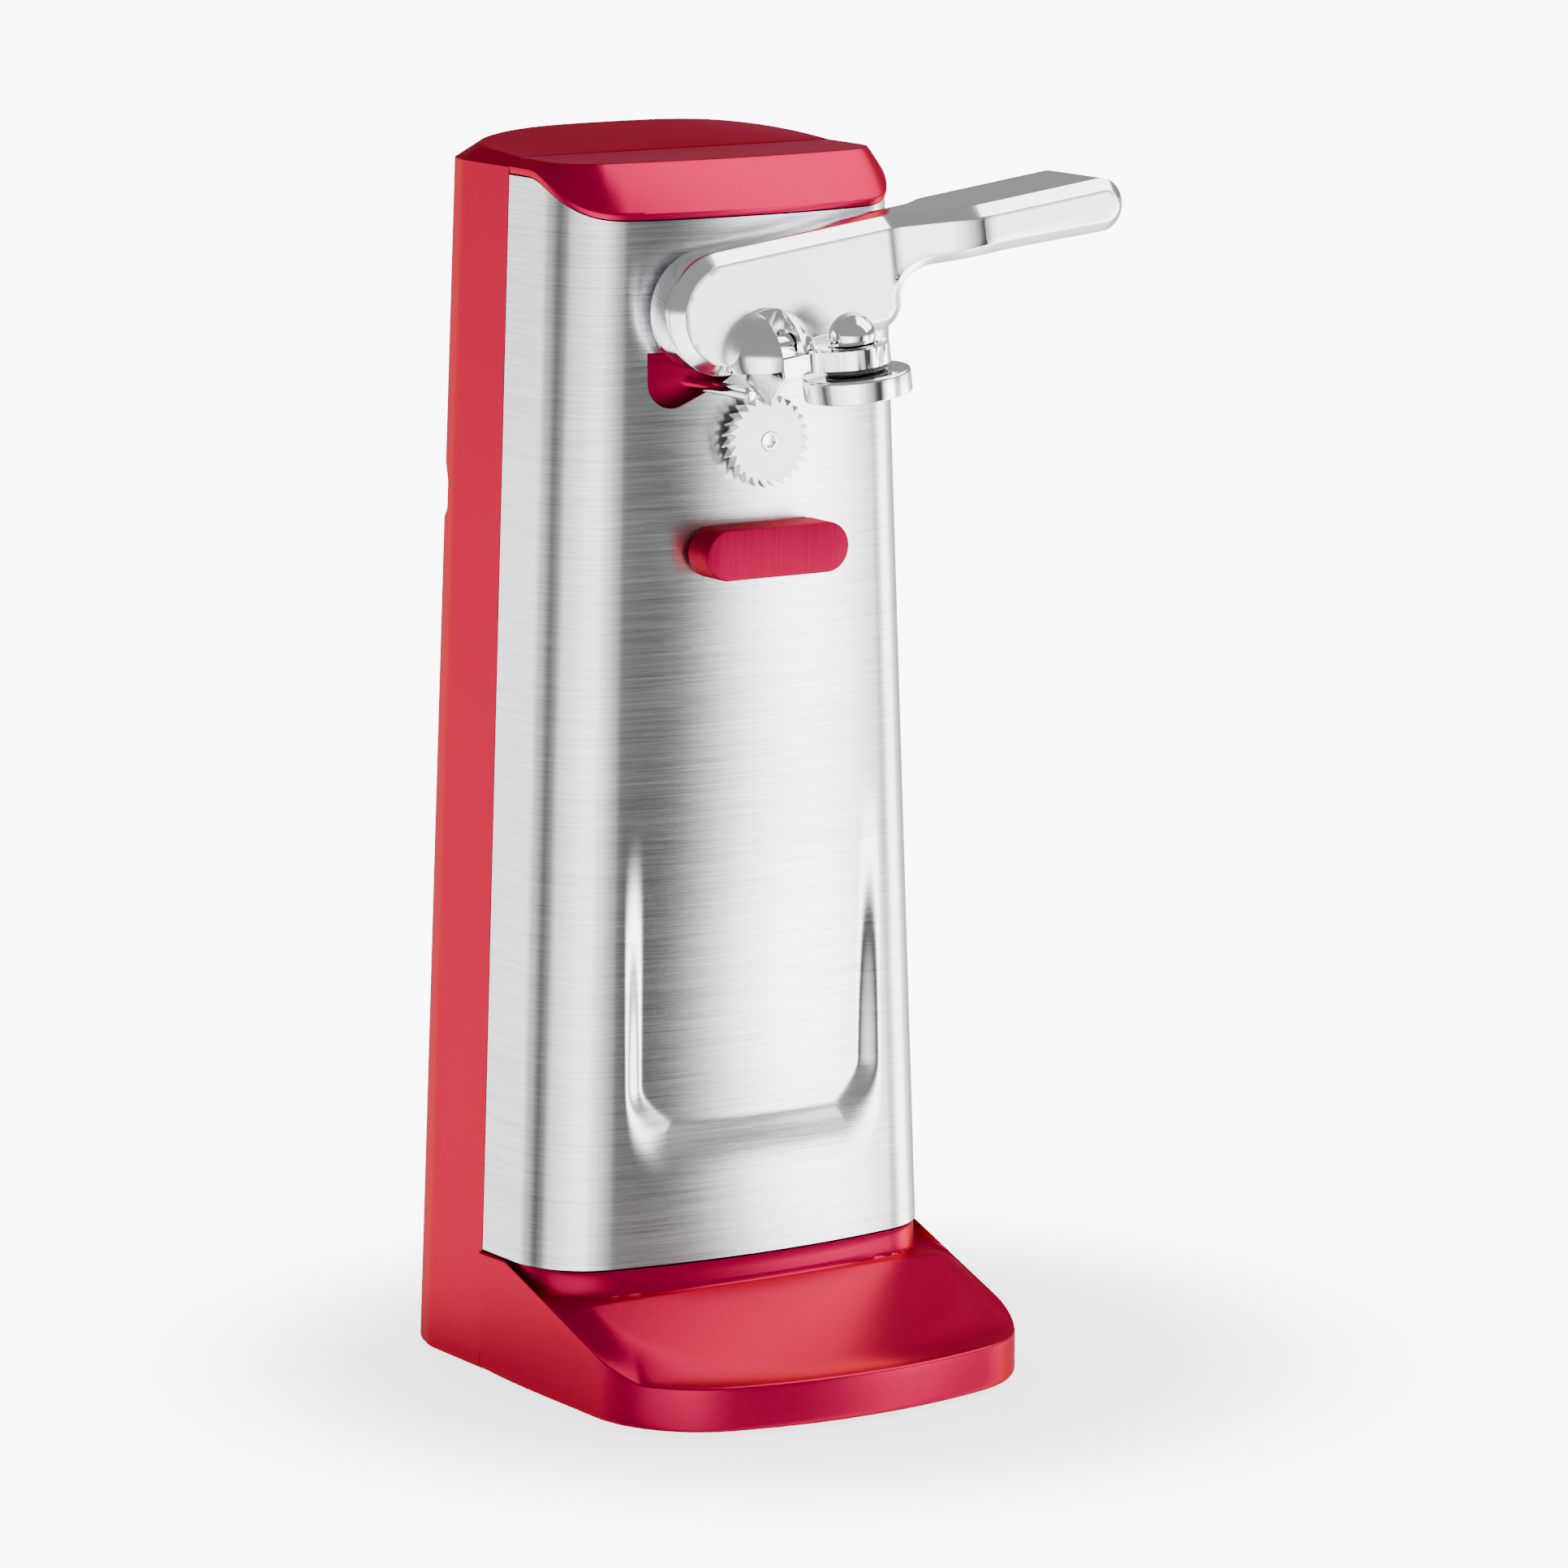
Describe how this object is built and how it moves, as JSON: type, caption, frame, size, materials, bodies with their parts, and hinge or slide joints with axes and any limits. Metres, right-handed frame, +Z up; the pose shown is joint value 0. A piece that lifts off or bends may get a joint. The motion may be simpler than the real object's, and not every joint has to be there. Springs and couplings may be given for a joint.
{
  "type": "electric can opener",
  "caption": "Upright electric can opener with a brushed steel front, a dished base, a cast lever with cutter and magnet, a feed wheel and a knife sharpener in the back.",
  "frame": {"origin": "under the middle of the whole box, on the surface the feet stand on", "axes": "+Z up, -Y towards the steel front, +X to the right as seen from the front"},
  "size_m": [0.1248, 0.11, 0.2541],
  "materials": {
    "red_plastic": "satin-gloss metallic red moulding",
    "brushed_steel": "horizontal brushed grain",
    "cast_metal": "satin plated die casting with polished bevels",
    "chrome": "bright polished plating",
    "plain_steel": "ground steel",
    "rubber": "matt rubber",
    "dark_plastic": "matt dark moulding",
    "nylon": "natural nylon",
    "brass": "machined brass",
    "copper": "enamelled copper winding",
    "stone": "grey abrasive",
    "laminations": "stacked steel laminations"
  },
  "bodies": {
    "body": {"rear_housing": "red_plastic", "front_housing": "red_plastic", "steel_cover": "brushed_steel", "can_rest": "red_plastic", "guide_pin": "chrome", "base_plate": "dark_plastic", "foot_1": "rubber", "foot_2": "rubber", "foot_3": "rubber", "foot_4": "rubber", "base_screw_1": "plain_steel", "base_screw_2": "plain_steel", "base_screw_3": "plain_steel", "base_screw_4": "plain_steel", "housing_screw_1": "plain_steel", "housing_screw_2": "plain_steel", "housing_screw_3": "plain_steel", "housing_screw_4": "plain_steel", "cord_inlet": "rubber", "mounting_plate": "laminations", "plate_screw_1": "plain_steel", "plate_screw_2": "plain_steel", "plate_screw_3": "plain_steel", "plate_screw_4": "plain_steel", "drive_bush": "brass", "axle_pin_1": "chrome", "axle_pin_2": "chrome", "stator_core": "laminations", "field_coil": "copper", "motor_front_bracket": "plain_steel", "motor_rear_bracket": "plain_steel", "motor_front_bearing": "brass", "motor_rear_bearing": "brass", "motor_screw_1": "plain_steel", "motor_screw_2": "plain_steel", "motor_screw_3": "plain_steel", "motor_screw_4": "plain_steel", "sharpener_guide": "dark_plastic", "switch_body": "dark_plastic"},
    "rotor": {"motor_shaft": "chrome", "rotor_core": "laminations", "sharpening_stone": "stone"},
    "gear_1": {"reduction_gear_1": "nylon"},
    "gear_2": {"reduction_gear_2": "nylon"},
    "drive": {"final_gear": "brass", "drive_shaft": "chrome", "feed_wheel": "chrome"},
    "lever": {"lever_casting": "cast_metal", "lever_spindle": "chrome", "cutter_blade": "plain_steel", "blade_screw": "plain_steel", "arm_pin": "chrome"},
    "magnet_swing": {"magnet_arm": "chrome"},
    "magnet_collar": {"magnet_washer": "dark_plastic"},
    "magnet": {"magnet_stud": "chrome", "magnet_cup": "chrome", "magnet_disc": "laminations"},
    "plunger": {"switch_plunger": "nylon"}
  },
  "joints": [
    {"name": "motor_spin", "type": "hinge", "parent": "body", "child": "rotor", "pos_m": [-0.01402, 0.02421, 0.182], "axis": [0, -1, 0], "continuous": true},
    {"name": "gear_1_spin", "type": "hinge", "parent": "body", "child": "gear_1", "pos_m": [-0.02902, 0.00721, 0.162], "axis": [0, -1, 0], "continuous": true},
    {"name": "gear_2_spin", "type": "hinge", "parent": "body", "child": "gear_2", "pos_m": [-0.00635, 0.00321, 0.17256], "axis": [0, -1, 0], "continuous": true},
    {"name": "drive_spin", "type": "hinge", "parent": "body", "child": "drive", "pos_m": [-0.01402, -0.00679, 0.1953], "axis": [0, -1, 0], "continuous": true},
    {"name": "lever_pivot", "type": "hinge", "parent": "body", "child": "lever", "pos_m": [-0.02782, -0.00979, 0.2224], "axis": [0, -1, 0], "range_deg": [0, 50]},
    {"name": "plunger_slide", "type": "slide", "parent": "body", "child": "plunger", "axis": [-1, 0, 0], "range_m": [0, 0.0015]},
    {"name": "magnet_swing", "type": "hinge", "parent": "lever", "child": "magnet_swing", "pos_m": [-0.01796, -0.02679, 0.21642], "axis": [-0.9917, 0, -0.1288], "range_deg": [0, 20]},
    {"name": "magnet_tilt_side", "type": "hinge", "parent": "magnet_swing", "child": "magnet_collar", "pos_m": [-0.00299, -0.03019, 0.21372], "axis": [0, -1, 0], "range_deg": [-3, 3]},
    {"name": "magnet_tilt_front", "type": "hinge", "parent": "magnet_collar", "child": "magnet", "pos_m": [-0.00299, -0.03019, 0.21372], "axis": [1, 0, 0], "range_deg": [-3, 3]}
  ],
  "couplings": [
    {"joint": "gear_1_spin", "follows": "motor_spin", "ratio": -0.25},
    {"joint": "gear_2_spin", "follows": "motor_spin", "ratio": 0.0625},
    {"joint": "drive_spin", "follows": "motor_spin", "ratio": -0.020833},
    {"joint": "plunger_slide", "follows": "lever_pivot", "m_per_rad": 0.0017189}
  ]
}
